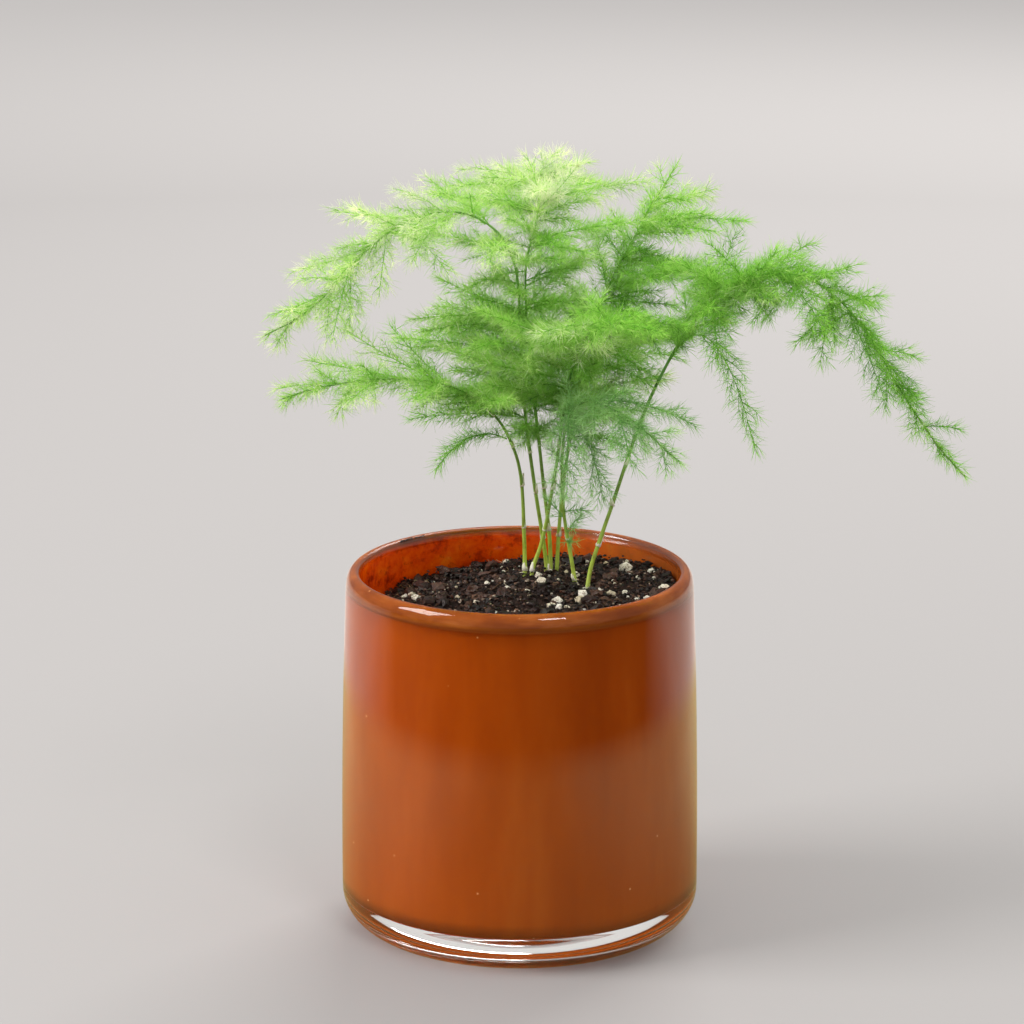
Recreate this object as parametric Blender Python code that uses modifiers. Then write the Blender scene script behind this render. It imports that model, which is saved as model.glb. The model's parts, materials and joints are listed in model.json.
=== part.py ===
"""An asparagus fern growing in a cased glass pot.

The pot is blown in two layers: a clear casing with a thick foot, and an amber lining.
Potting soil fills it, banked up to one side, and holds the root crown.  Seven wiry
stems rise from the crown, and each ends in a flat, arching frond.  A frond's side
branches are slim closed blades that follow each branch and the needles round it.

Units are metres, +Z is up, and the origin is the middle of the foot's underside.
"""

import math
from typing import NamedTuple

import bmesh
import bpy
from mathutils import Matrix, Vector

MM = 0.001

# ---- driving dimensions: the pot ------------------------------------------------------
POT_HEIGHT = 106 * MM
RIM_RADIUS = 50 * MM
BELLY_RADIUS = 51.9 * MM
HEEL_RADIUS = 11 * MM
FOOT_THICKNESS = 10 * MM
CASING_WALL = 1.8 * MM
LINING_WALL = 1.8 * MM
LINING_FLOOR = 2.5 * MM
CLEARANCE = 0.3 * MM

# ---- driving dimensions: the soil -----------------------------------------------------
SOIL_DROP = 10 * MM
SOIL_TILT = 0.1
MOUND_HEIGHT = 4 * MM
MOUND_SPREAD = 14 * MM
CLOD_HEIGHT = 0.5 * MM
PERLITE_RADIUS = 2.0 * MM

# ---- driving dimensions: the crown, the stems and the blades ---------------------------
CROWN_X = 9.5 * MM
CROWN_Y = 8.5 * MM
CROWN_DEPTH = 9 * MM
CROWN_HALF = (16 * MM, 6 * MM, 4.5 * MM)
CROWN_TURN = math.radians(-38)
ROOT_RADIUS = 2.2 * MM
STEM_RADIUS = 0.75 * MM
STEM_TIP_RADIUS = 0.35 * MM
BLADE_HALF_WIDTH = 2.6 * MM
BLADE_HALF_THICKNESS = 1.1 * MM

# ---- how finely things are cut --------------------------------------------------------
TURNED_STEPS = 48
STEM_POINTS = 20
BLADE_POINTS = 7

LEFT = 1
RIGHT = -1

SOIL_LEVEL = POT_HEIGHT - SOIL_DROP + MOUND_HEIGHT  # the top of the mound, where stems emerge
FULL_WALL = CASING_WALL + CLEARANCE + LINING_WALL


class Frond(NamedTuple):
    """A stem and its side branches.

    route: the stem's line as (x, y, height above the soil), in millimetres.
    sprays: side branches as (share of the stem's length, side, angle off the stem in
    degrees, length in millimetres, fall at the tip as a share of that length).
    LEFT and RIGHT are as seen by someone going up the stem.
    """

    route: list
    sprays: list


FRONDS = {
    # low, to the left and a little forward
    1: Frond(
        [(1.5, 14, 0), (1.2, 13.5, 14), (0.3, 12, 30), (-2.5, 9, 41), (-8, 4, 51),
         (-18, -3, 59.5), (-31, -10, 64), (-45, -17, 65), (-57, -22, 64), (-66, -26, 62)],
        [(0.37, RIGHT, 70, 26, 0.75), (0.44, RIGHT, 55, 36, -0.25), (0.50, LEFT, 60, 34, 0.05),
         (0.57, RIGHT, 50, 36, -0.1), (0.63, LEFT, 50, 32, 0.1), (0.71, RIGHT, 48, 30, 0.0),
         (0.78, LEFT, 45, 24, 0.1), (0.87, RIGHT, 42, 18, 0.1)],
    ),
    # forward, rising to the middle of the plant
    2: Frond(
        [(3, 12, 0), (6.5, 12, 11), (8.6, 11.5, 22), (11, 10.5, 37), (12.5, 8, 51),
         (15, 3, 64), (18, -6, 74), (21, -18, 81), (24, -31, 85), (26, -45, 86)],
        [(0.47, LEFT, 75, 32, 0.1), (0.53, RIGHT, 75, 40, -0.1), (0.62, LEFT, 65, 32, 0.1),
         (0.67, RIGHT, 65, 36, -0.1), (0.76, LEFT, 55, 26, 0.15), (0.81, RIGHT, 55, 24, 0.15),
         (0.91, LEFT, 45, 15, 0.1)],
    ),
    # tall, arching far to the left
    3: Frond(
        [(8, 16.5, 0), (6.2, 16, 14), (4.5, 15.5, 25), (2.6, 15, 39), (1, 14.5, 54),
         (0, 14.5, 72), (-0.8, 14.5, 88), (-4.5, 14.5, 99), (-14, 13.5, 106.5),
         (-27, 11, 107), (-38.5, 8, 101.5), (-48, 5, 93), (-59, 1, 82), (-72, -3, 75)],
        [(0.56, LEFT, 70, 32, 0.3), (0.60, RIGHT, 60, 34, 0.0), (0.66, LEFT, 62, 34, 0.25),
         (0.70, RIGHT, 55, 36, -0.1), (0.755, LEFT, 112, 30, 0.45), (0.79, RIGHT, 50, 32, -0.1),
         (0.84, LEFT, 50, 24, 0.2), (0.89, RIGHT, 45, 20, -0.05)],
    ),
    # tall, arching to the back
    4: Frond(
        [(9, 14, 0), (8.6, 13.8, 12), (7, 13.8, 26), (5.4, 14.2, 41), (3.4, 15.8, 59),
         (1.8, 17.5, 78), (1.8, 20, 91), (4, 25, 100), (5.5, 33, 106), (5, 44, 109),
         (3, 56, 109), (0, 68, 106)],
        [(0.64, LEFT, 75, 32, 0.1), (0.68, RIGHT, 70, 34, 0.1), (0.74, LEFT, 65, 34, 0.1),
         (0.78, RIGHT, 62, 34, 0.1), (0.84, LEFT, 55, 28, 0.1), (0.88, RIGHT, 52, 24, 0.1),
         (0.94, LEFT, 48, 15, 0.1)],
    ),
    # tall and steep, to the right and the back
    5: Frond(
        [(10.8, 14.8, 0), (11.3, 15, 12), (12, 15, 21), (13.2, 14.8, 32), (15, 14.5, 44),
         (17, 15.5, 57), (21, 18.5, 73), (27, 23.5, 87), (33.5, 29, 98), (39, 34, 107),
         (43, 37, 113), (45, 38.5, 116)],
        [(0.52, RIGHT, 75, 30, 0.3), (0.60, LEFT, 70, 28, 0.2), (0.69, RIGHT, 65, 30, 0.0),
         (0.77, LEFT, 60, 24, 0.2), (0.85, RIGHT, 55, 20, 0.2)],
    ),
    # short, falling forward to the right
    6: Frond(
        [(16, 3, -0.5), (15, 3, 7), (13.7, 2.8, 14.5), (12.6, 2.2, 22), (12, 1, 33),
         (12.5, -1.5, 45), (15, -6, 54), (20, -13, 58.5), (27, -19, 57), (34, -23, 53),
         (40, -26, 48), (45, -28, 44)],
        [(0.47, LEFT, 20, 24, 1.6), (0.58, RIGHT, 30, 24, 1.3), (0.68, LEFT, 50, 28, 0.3),
         (0.78, RIGHT, 45, 22, 0.2)],
    ),
    # long, arching to the right and falling at the tip
    7: Frond(
        [(19, 0, -0.5), (21.2, 0, 9), (24, -0.3, 17.5), (28, -1, 30), (31, -2, 40),
         (34, -3, 49), (37.5, -4, 58.5), (42, -5, 68), (47, -6, 77), (52, -7, 84),
         (58, -8, 89), (66, -9.5, 93), (75, -11, 94.5), (84, -12.5, 91.5), (92, -14, 84.5),
         (99, -15, 75), (105.5, -16, 64), (112, -17, 54), (119, -18, 44.5), (125, -19, 38)],
        [(0.39, RIGHT, 12, 58, 1.25), (0.45, LEFT, 65, 32, -0.3), (0.49, RIGHT, 75, 32, 0.5),
         (0.55, LEFT, 62, 34, 0.0), (0.60, RIGHT, 60, 32, 0.35), (0.66, LEFT, 55, 28, 0.1),
         (0.71, RIGHT, 50, 28, 0.2), (0.79, LEFT, 45, 22, 0.1)],
    ),
}

# (x, y) in millimetres of the grains of perlite that are large enough to be loose pieces
PERLITE_SPOTS = [(-14, -24), (31, 16)]

# azimuth in degrees, reach and depth in millimetres of each fleshy root
ROOTS = [(15, 26, 46), (80, 22, 58), (150, 30, 50), (215, 27, 62), (285, 24, 54), (335, 18, 66)]


# ---- scene and materials --------------------------------------------------------------
def clear_scene():
    for thing in list(bpy.data.objects):
        bpy.data.objects.remove(thing)


def new_collection(name):
    made = bpy.data.collections.new(name)
    bpy.context.scene.collection.children.link(made)
    return made


def material(name, colour, roughness, transmission=0.0):
    made = bpy.data.materials.new(name)
    made.use_nodes = True
    shader = made.node_tree.nodes["Principled BSDF"]
    shader.inputs["Base Color"].default_value = (*colour, 1)
    shader.inputs["Roughness"].default_value = roughness
    shader.inputs["Metallic"].default_value = 0.0
    shader.inputs["Transmission Weight"].default_value = transmission
    return made


def add_object(name, data, collection, finish=None):
    made = bpy.data.objects.new(name, data)
    collection.objects.link(made)
    if finish:
        data.materials.append(finish)
    return made


def as_cutter(thing):
    thing.hide_render = True
    thing.display_type = "WIRE"
    return thing


def frozen(thing):
    """The object's mesh with its modifiers or its bevel worked out, and seams welded."""
    bpy.context.view_layer.update()
    graph = bpy.context.evaluated_depsgraph_get()
    mesh = bpy.data.meshes.new_from_object(thing.evaluated_get(graph))
    mesh.transform(thing.matrix_world)
    shape = bmesh.new()
    shape.from_mesh(mesh)
    bmesh.ops.remove_doubles(shape, verts=shape.verts, dist=0.001 * MM)
    bmesh.ops.recalc_face_normals(shape, faces=shape.faces)
    shape.to_mesh(mesh)
    shape.free()
    bpy.data.objects.remove(thing)
    return mesh


def combine(thing, others, operation):
    for other in others:
        step = thing.modifiers.new(operation.title(), "BOOLEAN")
        step.operation = operation
        step.object = as_cutter(other)


# ---- turned shapes --------------------------------------------------------------------
def turned(name, profile, collection, finish=None):
    """A solid of revolution about Z.  The profile runs down its outer side."""
    mesh = bpy.data.meshes.new(name)
    points = [(radius, 0, height) for radius, height in profile]
    mesh.from_pydata(points, [(i, i + 1) for i in range(len(points) - 1)], [])
    made = add_object(name, mesh, collection, finish)
    screw = made.modifiers.new("Screw", "SCREW")
    screw.steps = TURNED_STEPS
    screw.render_steps = TURNED_STEPS
    screw.use_merge_vertices = True
    screw.merge_threshold = 0.01 * MM
    screw.use_smooth_shade = True
    return made


def arc(centre, radius, start, end, steps):
    angles = [math.radians(start + (end - start) * i / steps) for i in range(steps + 1)]
    return [(centre[0] + radius * math.cos(a), centre[1] + radius * math.sin(a)) for a in angles]


LIP_RADIUS = FULL_WALL / 2
LIP_CENTRE = (RIM_RADIUS - LIP_RADIUS, POT_HEIGHT - LIP_RADIUS)


def outer_radius(height):
    """The pot's outside: widest just above the heel, drawn in a little at the rim."""
    share = (height - HEEL_RADIUS) / (LIP_CENTRE[1] - HEEL_RADIUS)
    return BELLY_RADIUS - (BELLY_RADIUS - RIM_RADIUS) * max(0.0, share) ** 2


def cup_line(inset, floor, top, wall_steps=7, corner_steps=5):
    """From the axis out along a floor, round the corner and up the wall to top."""
    corner = HEEL_RADIUS - inset
    start = floor + corner
    line = [(0, floor)]
    line += arc((outer_radius(start) - inset - corner, start), corner, -90, 0, corner_steps)
    for i in range(1, wall_steps + 1):
        height = start + (top - start) * i / wall_steps
        line.append((outer_radius(height) - inset, height))
    return line


def lip_split(radius):
    """The angle round the lip, from outside, at which it crosses a radius."""
    return math.degrees(math.acos((radius - LIP_CENTRE[0]) / LIP_RADIUS))


def glass_casing(collection, finish):
    split = RIM_RADIUS - CASING_WALL
    inside = cup_line(CASING_WALL, FOOT_THICKNESS, LIP_CENTRE[1])
    lip = arc(LIP_CENTRE, LIP_RADIUS, lip_split(split), 0, 4)
    outside = cup_line(0, 0, LIP_CENTRE[1])
    return turned("glass_casing", inside + lip + outside[-2::-1], collection, finish)


def amber_lining(collection, finish):
    split = RIM_RADIUS - CASING_WALL - CLEARANCE
    floor = FOOT_THICKNESS + CLEARANCE
    inside = cup_line(FULL_WALL, floor + LINING_FLOOR, LIP_CENTRE[1])
    lip = arc(LIP_CENTRE, LIP_RADIUS, 180, lip_split(split), 4)
    outside = cup_line(CASING_WALL + CLEARANCE, floor, LIP_CENTRE[1])
    return turned("amber_lining", inside[:-1] + lip + outside[::-1], collection, finish)


# ---- soil -----------------------------------------------------------------------------
def soil_height(x, y):
    """The soil's surface: tilted up to the right, mounded at the crown, and cloddy."""
    away = math.hypot(x - CROWN_X, y - CROWN_Y)
    mound = MOUND_HEIGHT * math.exp(-((away / MOUND_SPREAD) ** 2) / 2)
    clods = CLOD_HEIGHT * math.sin(x / (4.1 * MM)) * math.cos(y / (3.7 * MM))
    return POT_HEIGHT - SOIL_DROP + SOIL_TILT * x + mound + clods


def potting_soil(collection, finish, cutters):
    inset = FULL_WALL + CLEARANCE
    floor = FOOT_THICKNESS + LINING_FLOOR + 2 * CLEARANCE
    shoulder = POT_HEIGHT - SOIL_DROP - 12 * MM
    side = cup_line(inset, floor, shoulder, wall_steps=3, corner_steps=3)
    edge = RIM_RADIUS - inset
    rings = 6
    top = [(edge * i / rings, POT_HEIGHT) for i in range(rings + 1)]
    mesh = frozen(turned("soil_blank", top + side[::-1], collection))
    for vertex in mesh.vertices:
        if vertex.co.z > shoulder + MM:
            height = soil_height(vertex.co.x, vertex.co.y)
            reach = (outer_radius(height) - inset) / edge
            vertex.co = (vertex.co.x * reach, vertex.co.y * reach, height)
    soil = add_object("potting_soil", mesh, collection, finish)
    combine(soil, cutters, "DIFFERENCE")
    return soil


def perlite_grain(number, spot, collection, finish):
    """A rough, flattened grain that lies on the soil."""
    x, y = spot[0] * MM, spot[1] * MM
    shape = bmesh.new()
    bmesh.ops.create_icosphere(shape, subdivisions=2, radius=PERLITE_RADIUS)
    for vertex in shape.verts:
        vertex.co *= 1 + 0.12 * math.sin(5 * number + vertex.co.x / (0.6 * MM))
        vertex.co.z *= 0.7
    lowest = min(vertex.co.z for vertex in shape.verts)
    ground = max(
        soil_height(x + PERLITE_RADIUS * across, y + PERLITE_RADIUS * along)
        for across in (-1, 0, 1)
        for along in (-1, 0, 1)
    )
    mesh = bpy.data.meshes.new("perlite_grain")
    shape.to_mesh(mesh)
    shape.free()
    grain = add_object(f"perlite_grain_{number}", mesh, collection, finish)
    grain.location = (x, y, ground + CLEARANCE - lowest)
    return grain


# ---- lines and tubes ------------------------------------------------------------------
def smooth_line(points, count):
    """count points, evenly spaced, on a smooth curve through the given ones."""
    ends = [2 * points[0] - points[1], *points, 2 * points[-1] - points[-2]]
    fine = []
    for a, b, c, d in zip(ends, ends[1:], ends[2:], ends[3:]):
        for i in range(12):
            t = i / 12
            bend = (2 * a - 5 * b + 4 * c - d) * t**2 + (3 * b - a - 3 * c + d) * t**3
            fine.append(0.5 * (2 * b + (c - a) * t + bend))
    fine.append(points[-1])
    return spaced(fine, [i / (count - 1) for i in range(count)])


def spaced(line, shares):
    """The points at these shares of a line's length."""
    reach = [0.0]
    for a, b in zip(line, line[1:]):
        reach.append(reach[-1] + (b - a).length)
    found = []
    i = 0
    for share in shares:
        goal = share * reach[-1]
        while i < len(line) - 2 and reach[i + 1] < goal:
            i += 1
        step = reach[i + 1] - reach[i]
        found.append(line[i].lerp(line[i + 1], (goal - reach[i]) / step))
    return found


def swept(name, points, radii, collection, finish=None, section=None):
    """A tube, or a bar of the given section, along points, with its own size at each."""
    data = bpy.data.curves.new(name, "CURVE")
    data.dimensions = "3D"
    data.twist_mode = "Z_UP" if section else "MINIMUM"
    data.use_fill_caps = True
    if section:
        data.bevel_mode = "OBJECT"
        data.bevel_object = section
    else:
        data.bevel_depth = 1.0
        data.bevel_resolution = 2
    spline = data.splines.new("POLY")
    spline.points.add(len(points) - 1)
    for point, place, radius in zip(spline.points, points, radii):
        point.co = (*place, 1)
        point.radius = radius
    return add_object(name, data, collection, finish)


# ---- the root crown -------------------------------------------------------------------
def crown_centre():
    return Vector((CROWN_X, CROWN_Y, SOIL_LEVEL - CROWN_DEPTH))


def crown_top(x, y):
    """Height of the crown's upper surface over a point."""
    across = Matrix.Rotation(-CROWN_TURN, 2) @ Vector((x - CROWN_X, y - CROWN_Y))
    u = across.x / CROWN_HALF[0]
    v = across.y / CROWN_HALF[1]
    return crown_centre().z + CROWN_HALF[2] * math.sqrt(max(0.05, 1 - u * u - v * v))


def root_line(azimuth, reach, depth):
    """A root's line from inside the crown, out and then down into the soil."""
    out = Vector((math.cos(math.radians(azimuth)), math.sin(math.radians(azimuth)), 0))
    start = crown_centre() + out * 2 * MM
    knee = crown_centre() + out * reach * 0.55 * MM + Vector((0, 0, -0.3 * depth * MM))
    end = Vector((out.x * reach * MM, out.y * reach * MM, crown_centre().z - depth * MM))
    return smooth_line([start, knee, end], 8)


def crown_solid(name, grow, collection, finish=None):
    """The crown and its roots as one solid, grown by a clearance for the hole it fills."""
    shape = bmesh.new()
    bmesh.ops.create_uvsphere(shape, u_segments=16, v_segments=8, radius=1)
    half = [side + grow for side in CROWN_HALF]
    bmesh.ops.scale(shape, vec=half, verts=shape.verts)
    bmesh.ops.rotate(shape, matrix=Matrix.Rotation(CROWN_TURN, 3, "Z"), verts=shape.verts)
    bmesh.ops.translate(shape, vec=crown_centre(), verts=shape.verts)
    mesh = bpy.data.meshes.new(name)
    shape.to_mesh(mesh)
    shape.free()
    crown = add_object(name, mesh, collection, finish)
    roots = []
    swelling = [0.7, 0.8, 1.0, 1.3, 1.4, 1.1, 0.7, 0.35]
    for i, (azimuth, reach, depth) in enumerate(ROOTS):
        radii = [ROOT_RADIUS * share + grow for share in swelling]
        tube = swept("root", root_line(azimuth, reach, depth), radii, cutters_collection())
        roots.append(add_object(f"{name}_root_{i}", frozen(tube), cutters_collection()))
    combine(crown, roots, "UNION")
    return crown


def cutters_collection():
    return bpy.data.collections["cutters"]


# ---- stems and side branches ----------------------------------------------------------
def stem_line(frond):
    """The stem from its seat on the crown, through the soil, to the frond's tip."""
    points = [Vector((x, y, h)) * MM + Vector((0, 0, SOIL_LEVEL)) for x, y, h in frond.route]
    foot = points[0]
    seat = Vector((foot.x, foot.y, crown_top(foot.x, foot.y) + 3.5 * CLEARANCE))
    return smooth_line([seat, *points], STEM_POINTS)


def stem_radius(share):
    """The stem keeps its thickness at the bottom and thins out along the frond."""
    return STEM_RADIUS + (STEM_TIP_RADIUS - STEM_RADIUS) * share**1.5


def stem_solid(name, line, grow, collection, finish=None):
    last = STEM_POINTS - 1
    radii = [stem_radius(i / last) + grow for i in range(len(line))]
    return swept(name, line, radii, collection, finish)


def stem_hole(name, line):
    """What the stem's foot takes out of the soil: a wider tube from in the crown up."""
    below = line[0] - Vector((0, 0, 2 * MM))
    top = next(i for i, point in enumerate(line) if point.z > SOIL_LEVEL + 4 * MM)
    tube = stem_solid("hole", [below, *line[: top + 1]], CLEARANCE, cutters_collection())
    return add_object(name, frozen(tube), cutters_collection())


def blade_section():
    """The flat cross-section, one unit across, that every side branch is swept with."""
    data = bpy.data.curves.new("blade_section", "CURVE")
    data.dimensions = "2D"
    spline = data.splines.new("POLY")
    spline.points.add(5)
    flat = BLADE_HALF_THICKNESS / BLADE_HALF_WIDTH
    for i, point in enumerate(spline.points):
        angle = math.radians(-60 * i)
        point.co = (math.cos(angle), flat * math.sin(angle), 0, 1)
    spline.use_cyclic_u = True
    return as_cutter(add_object("blade_section", data, cutters_collection()))


def spray_line(line, share, side, angle, length, fall):
    """A side branch's line: off the stem, then along its own direction, falling."""
    foot, ahead = spaced(line, [share, min(1.0, share + 0.01)])
    along = (ahead - foot).normalized()
    across = Vector((-along.y, along.x, 0)).normalized() * side
    turn = math.radians(angle)
    way = along * math.cos(turn) + across * math.sin(turn)
    start = foot + across * (stem_radius(share) + 2 * CLEARANCE)
    reach = length * MM
    points = []
    for i in range(BLADE_POINTS):
        t = i / (BLADE_POINTS - 1)
        points.append(start + way * reach * t - Vector((0, 0, reach * fall * t * t)))
    return points


def blade_radii():
    """Half-widths along a side branch: a thin stalk, a full middle and a narrow tip."""
    stalk = 0.14 * BLADE_HALF_WIDTH
    radii = []
    for i in range(BLADE_POINTS):
        t = i / (BLADE_POINTS - 1)
        radii.append(stalk + (BLADE_HALF_WIDTH - stalk) * math.sin(math.pi * t**0.8) ** 0.8)
    radii[-1] = 0.2 * BLADE_HALF_WIDTH
    return radii


def fern(collection, stem_finish, spray_finish):
    """Every stem with its side branches.  Returns the holes that the stems need."""
    section = blade_section()
    holes = []
    for number, frond in FRONDS.items():
        line = stem_line(frond)
        stem_solid(f"stem_{number}", line, 0, collection, stem_finish)
        holes.append(stem_hole(f"stem_hole_{number}", line))
        for i, spray in enumerate(frond.sprays, 1):
            name = f"frond_{number}_spray_{i}"
            points = spray_line(line, *spray)
            swept(name, points, blade_radii(), collection, spray_finish, section)
    return holes


# ---- the whole object -----------------------------------------------------------------
def main():
    clear_scene()
    parts = new_collection("potted_asparagus_fern")
    new_collection("cutters")
    clear_glass = material("clear_glass", (0.95, 0.95, 0.96), 0.03, transmission=1.0)
    amber_glass = material("amber_glass", (0.55, 0.16, 0.02), 0.08)
    dark_soil = material("dark_soil", (0.03, 0.02, 0.015), 0.95)
    white_perlite = material("white_perlite", (0.80, 0.78, 0.72), 0.9)
    pale_root = material("pale_root", (0.55, 0.45, 0.28), 0.7)
    green_stem = material("green_stem", (0.24, 0.38, 0.09), 0.5)
    green_needle = material("green_needle", (0.16, 0.42, 0.06), 0.6)

    glass_casing(parts, clear_glass)
    amber_lining(parts, amber_glass)
    holes = fern(parts, green_stem, green_needle)
    crown_solid("root_crown", 0, parts, pale_root)
    crown_hole = crown_solid("crown_hole", CLEARANCE, cutters_collection())
    potting_soil(parts, dark_soil, [crown_hole, *holes])
    for number, spot in enumerate(PERLITE_SPOTS, 1):
        perlite_grain(number, spot, parts, white_perlite)


main()
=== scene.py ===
# %% [markdown]
# # An asparagus fern in an amber glass pot
#
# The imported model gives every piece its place: the pot's two layers of glass, the soil, the
# root crown, seven stems and the side branches of each frond. This lesson gives each of
# them the look of the real thing. The plain solids of the frame are read for their size and
# their lines, and finer pieces are then modelled round those.

# %% Load the frame
import json
import math

import bmesh
import bpy
import numpy as np
from mathutils import Matrix, Vector, noise
from mathutils.bvhtree import BVHTree
from mathutils.kdtree import KDTree

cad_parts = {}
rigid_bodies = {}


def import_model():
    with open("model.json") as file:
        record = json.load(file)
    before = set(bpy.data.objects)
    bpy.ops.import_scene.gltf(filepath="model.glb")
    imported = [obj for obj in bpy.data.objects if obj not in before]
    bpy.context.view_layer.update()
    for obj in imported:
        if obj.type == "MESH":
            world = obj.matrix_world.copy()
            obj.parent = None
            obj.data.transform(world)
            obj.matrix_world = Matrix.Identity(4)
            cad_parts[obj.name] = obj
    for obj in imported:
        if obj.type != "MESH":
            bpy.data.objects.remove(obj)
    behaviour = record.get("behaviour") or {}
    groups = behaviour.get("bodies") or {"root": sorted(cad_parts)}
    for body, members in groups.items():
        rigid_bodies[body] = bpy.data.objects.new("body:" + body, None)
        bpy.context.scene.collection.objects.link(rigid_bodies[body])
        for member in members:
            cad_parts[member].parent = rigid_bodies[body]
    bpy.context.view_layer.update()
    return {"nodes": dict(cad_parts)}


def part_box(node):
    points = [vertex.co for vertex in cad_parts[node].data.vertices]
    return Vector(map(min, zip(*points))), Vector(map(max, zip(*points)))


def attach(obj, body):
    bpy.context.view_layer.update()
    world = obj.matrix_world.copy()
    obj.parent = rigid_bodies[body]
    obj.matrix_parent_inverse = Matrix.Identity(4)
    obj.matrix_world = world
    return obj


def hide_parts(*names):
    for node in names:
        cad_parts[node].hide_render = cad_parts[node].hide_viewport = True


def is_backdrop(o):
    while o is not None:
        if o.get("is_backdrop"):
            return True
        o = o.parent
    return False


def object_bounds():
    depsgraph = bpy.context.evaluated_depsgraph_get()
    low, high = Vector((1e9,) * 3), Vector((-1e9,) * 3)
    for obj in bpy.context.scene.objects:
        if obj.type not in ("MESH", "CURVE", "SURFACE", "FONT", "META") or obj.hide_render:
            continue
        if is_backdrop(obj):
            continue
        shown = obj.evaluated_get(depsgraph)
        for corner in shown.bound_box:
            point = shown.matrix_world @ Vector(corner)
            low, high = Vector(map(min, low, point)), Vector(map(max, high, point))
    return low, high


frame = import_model()
MM = 0.001
print("The frame has", len(frame["nodes"]), "nodes")

# %% [markdown]
# ## The camera and the room
#
# A plant on a table is seen from a little above, so the camera looks down by about fifteen
# degrees, and a long lens keeps the pot's walls nearly upright. It comes first because
# every choice after it is judged through it.

# %% Camera
camera_data = bpy.data.cameras.new("camera")
camera_data.lens = 140.6
camera_data.sensor_width = 36
camera = bpy.data.objects.new("camera", camera_data)
bpy.context.scene.collection.objects.link(camera)
camera.location = (0, -1.108, 0.414)
camera.rotation_euler = (math.radians(75.27), 0, math.radians(0.116))
bpy.context.scene.camera = camera
bpy.context.scene.view_settings.view_transform = "Standard"
print("Camera", tuple(round(v, 3) for v in camera.location), "lens", camera_data.lens, "mm")


# %% [markdown]
# ## Helpers
#
# Operators act on whatever is selected, so each piece starts by deselecting everything.
# A finished piece keeps its place in its mesh: its object stays at the origin.

# %% Small helpers for selecting, editing and finishing pieces
def start_clean():
    """Nothing selected, and object mode."""
    if bpy.context.mode != "OBJECT":
        bpy.ops.object.mode_set(mode="OBJECT")
    bpy.ops.object.select_all(action="DESELECT")


def only(piece):
    start_clean()
    piece.select_set(True)
    bpy.context.view_layer.objects.active = piece
    return piece


def edit_all():
    """Edit mode, with all of the active piece selected."""
    bpy.ops.object.mode_set(mode="EDIT")
    bpy.ops.mesh.select_all(action="SELECT")


def end_edit(face_outward=False):
    if face_outward:
        bpy.ops.mesh.select_all(action="SELECT")
        bpy.ops.mesh.normals_make_consistent(inside=False)
    bpy.ops.object.mode_set(mode="OBJECT")


def settle(piece, name, smooth_faces=True):
    """Name the piece, put its place in its mesh and shade it smooth, or in flat facets."""
    only(piece)
    piece.name = name
    piece.data.name = name
    bpy.ops.object.transform_apply(location=True, rotation=True, scale=True)
    if smooth_faces:
        bpy.ops.object.shade_smooth()
    else:
        bpy.ops.object.shade_flat()
    return piece


def finished(piece, finish, replaced=()):
    """The piece rides on the one body, takes its finish and stands for its nodes."""
    piece.data.materials.clear()
    piece.data.materials.append(finish)
    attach(piece, "root")
    if replaced:
        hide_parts(*replaced)
    return piece


def triangles(piece):
    return sum(len(face.vertices) - 2 for face in piece.data.polygons)


print("Helpers ready")


# %% [markdown]
# ## Reading a solid's midline
#
# Each stem and side branch in the frame is a tube of rings. Welded, every ring is joined only
# to the rings next to it. So the midline is read by starting at the end cap with the
# tightest ring and stepping from neighbour to neighbour, one ring at a time.

# %% The midline of a tube from its mesh
def welded(node):
    shape = bmesh.new()
    shape.from_mesh(frame["nodes"][node].data)
    bmesh.ops.remove_doubles(shape, verts=shape.verts, dist=0.002 * MM)
    shape.verts.ensure_lookup_table()
    return shape


def midline(node, sides):
    """Ring centres as an array, from the thin end of a side branch or the foot of a stem."""
    shape = welded(node)
    places = np.array([vertex.co for vertex in shape.verts])
    gaps = np.linalg.norm(places[:, None] - places[None], axis=2)
    nearest = np.argsort(gaps, axis=1)[:, :sides]
    spread = np.take_along_axis(gaps, nearest, axis=1).max(axis=1)
    ring = set(nearest[int(spread.argmin())].tolist())
    seen = set(ring)
    centres = []
    while ring:
        centres.append(places[sorted(ring)].mean(axis=0))
        reached = set()
        for index in ring:
            for edge in shape.verts[index].link_edges:
                reached.add(edge.other_vert(shape.verts[index]).index)
        ring = reached - seen
        seen |= ring
    shape.free()
    line = np.array(centres)
    if node.startswith("stem") and line[0, 2] > line[-1, 2]:
        line = line[::-1]
    return line


STEMS = sorted(node for node in frame["nodes"] if node.startswith("stem_"))
SPRAYS = sorted(node for node in frame["nodes"] if "_spray_" in node)
stem_lines = {node: midline(node, 8) for node in STEMS}
spray_lines = {node: midline(node, 6) for node in SPRAYS}
print("Stem rings", {len(line) for line in stem_lines.values()})
print("Side branch rings", {len(line) for line in spray_lines.values()})


# %% [markdown]
# ## Smooth curves from a few points
#
# A midline has only a few points. A Catmull-Rom curve runs through all of them without
# corners, and is then read at even steps along its length.

# %% Smooth and even lines
def smooth(line, count):
    """count points evenly spaced along a smooth curve through the line's points."""
    ends = np.vstack([2 * line[0] - line[1], line, 2 * line[-1] - line[-2]])
    shares = np.linspace(0, 1, 12, endpoint=False)[:, None]
    runs = []
    for a, b, c, d in zip(ends, ends[1:], ends[2:], ends[3:]):
        bend = (2 * a - 5 * b + 4 * c - d) * shares**2 + (3 * b - a - 3 * c + d) * shares**3
        runs.append(0.5 * (2 * b + (c - a) * shares + bend))
    fine = np.vstack([*runs, line[-1:]])
    return evenly(fine, np.linspace(0, 1, count))


def length_of(line):
    return float(np.linalg.norm(np.diff(line, axis=0), axis=1).sum())


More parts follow.
